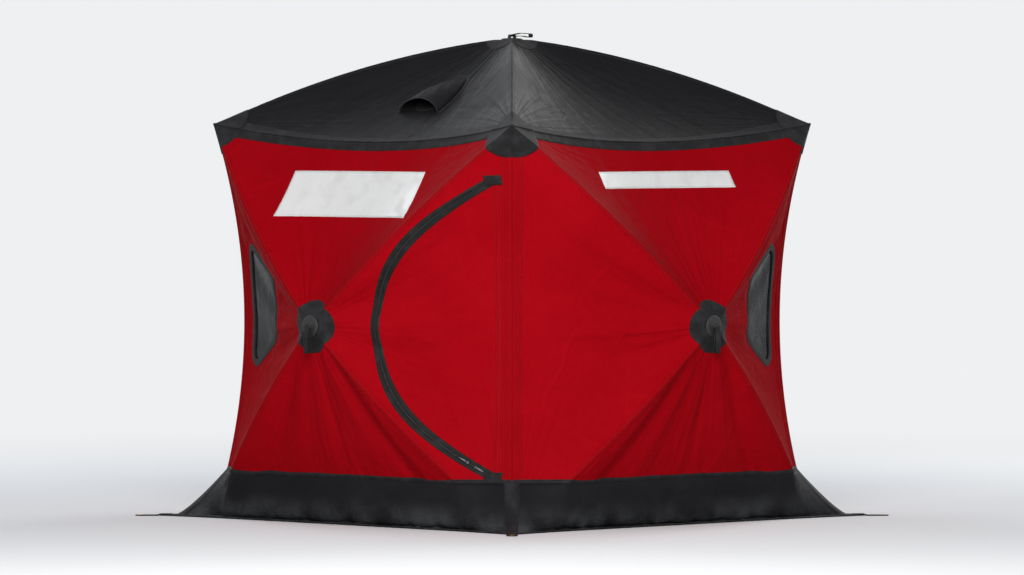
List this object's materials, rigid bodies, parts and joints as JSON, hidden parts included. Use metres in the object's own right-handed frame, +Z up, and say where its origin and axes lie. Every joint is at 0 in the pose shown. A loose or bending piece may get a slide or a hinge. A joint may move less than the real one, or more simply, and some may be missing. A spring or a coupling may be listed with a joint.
{
  "type": "pop-up hub shelter for ice fishing",
  "caption": "Square pop-up fabric shelter with walls and roof pushed out by hubs on bowed rods, a zipped door, windows and a spread skirt.",
  "frame": {"origin": "on the ice, in the middle of the base", "axes": "+Z up; the front wall, with the door, faces -Y; the right wall faces +X"},
  "size_m": [2.4164, 2.4164, 2.0482],
  "materials": {
    "binding": "folded woven binding, stitched",
    "brass": "stamped, slightly dull",
    "fibreglass": "pultruded rod, off-white",
    "mesh": "knitted insect mesh",
    "nylon": "moulded nylon",
    "reflective_tape": "pale retroreflective tape",
    "roof_fabric": "coated woven polyester, black",
    "skirt_fabric": "coated woven polyester, black, frosted at the hem",
    "wall_fabric": "coated woven polyester, red, slightly glossy",
    "webbing": "flat woven webbing",
    "window_film": "smoked flexible vinyl film, see-through",
    "zip_tape": "woven zip tape with a moulded coil"
  },
  "bodies": {
    "root": {"front_wall": "wall_fabric", "right_wall": "wall_fabric", "back_wall": "wall_fabric", "left_wall": "wall_fabric", "roof_panel": "roof_fabric", "door_panel": "wall_fabric", "door_zip": "zip_tape", "front_window": "window_film", "right_window": "window_film", "back_windows": "window_film", "left_windows": "window_film", "window_borders": "binding", "reflective_strips": "reflective_tape", "front_left_binding": "wall_fabric", "front_right_binding": "wall_fabric", "back_right_binding": "wall_fabric", "back_left_binding": "wall_fabric", "eave_bindings": "binding", "corner_patches": "binding", "hub_patches": "binding", "front_skirt": "skirt_fabric", "right_skirt": "skirt_fabric", "back_skirt": "skirt_fabric", "left_skirt": "skirt_fabric", "anchor_tabs": "webbing", "grommets": "brass", "front_hub": "nylon", "right_hub": "nylon", "back_hub": "nylon", "left_hub": "nylon", "roof_hub": "nylon", "hub_caps": "nylon", "pull_loops": "webbing", "front_rods": "fibreglass", "right_rods": "fibreglass", "back_rods": "fibreglass", "left_rods": "fibreglass", "roof_rods": "fibreglass", "upper_corner_joints": "nylon", "corner_feet": "nylon", "vent_hoods": "roof_fabric", "vent_meshes": "mesh"}
  },
  "joints": []
}
